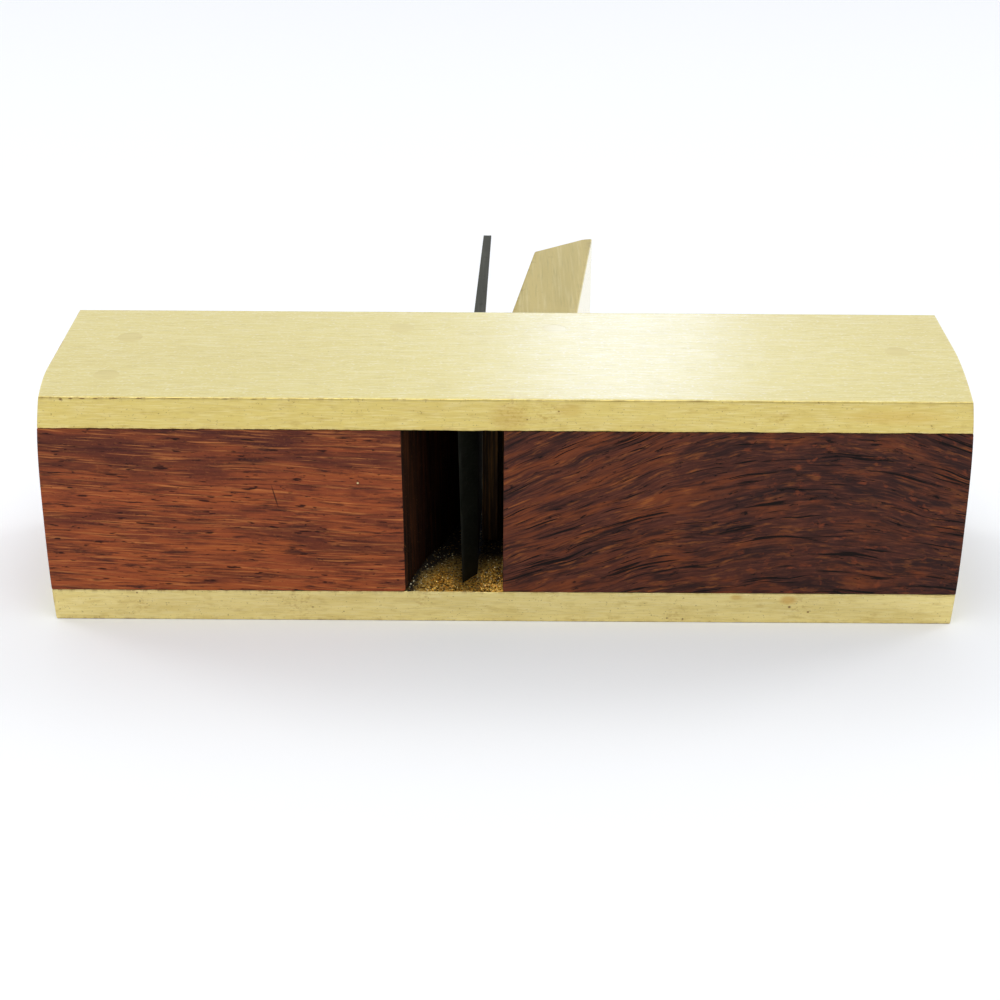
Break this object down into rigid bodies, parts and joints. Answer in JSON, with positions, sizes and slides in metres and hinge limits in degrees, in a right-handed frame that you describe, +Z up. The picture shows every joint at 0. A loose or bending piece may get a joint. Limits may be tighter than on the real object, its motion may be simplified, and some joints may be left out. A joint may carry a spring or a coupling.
{
  "type": "hand plane",
  "caption": "Small scraping plane: brass cheeks riveted over rosewood infill, with a steep tapered iron held by a brass wedge.",
  "frame": {"origin": "middle of the outer face of the lower cheek, which the plane lies on", "axes": "+X along the length from toe to heel, -Y out of the sole, +Y out of the top, +Z up across the width"},
  "size_m": [0.1146, 0.0779, 0.0304],
  "materials": {
    "brass_cheeks": "brushed along the length",
    "brass_wedge": "satin, as sawn and filed",
    "brass_rod": "filed flush",
    "red_rosewood": "oiled",
    "dark_rosewood": "oiled",
    "tool_steel": "dark, as hardened"
  },
  "bodies": {
    "body": {"lower_cheek": "brass_cheeks", "upper_cheek": "brass_cheeks", "toe_infill": "red_rosewood", "heel_infill": "dark_rosewood", "cross_pin": "brass_rod", "toe_lower_rivet": "brass_rod", "toe_upper_rivet": "brass_rod", "brow_rivet": "brass_rod", "heel_rivet": "brass_rod"},
    "iron": {"blade": "tool_steel"},
    "wedge": {"wedge": "brass_wedge"}
  },
  "joints": [
    {"name": "blade_slide", "type": "slide", "parent": "body", "child": "iron", "axis": [0.0227, 0.9997, 0], "range_m": [-0.0026, 0.033]},
    {"name": "wedge_slide", "type": "slide", "parent": "body", "child": "wedge", "axis": [0.13, 0.9915, 0], "range_m": [0, 0.022]}
  ]
}
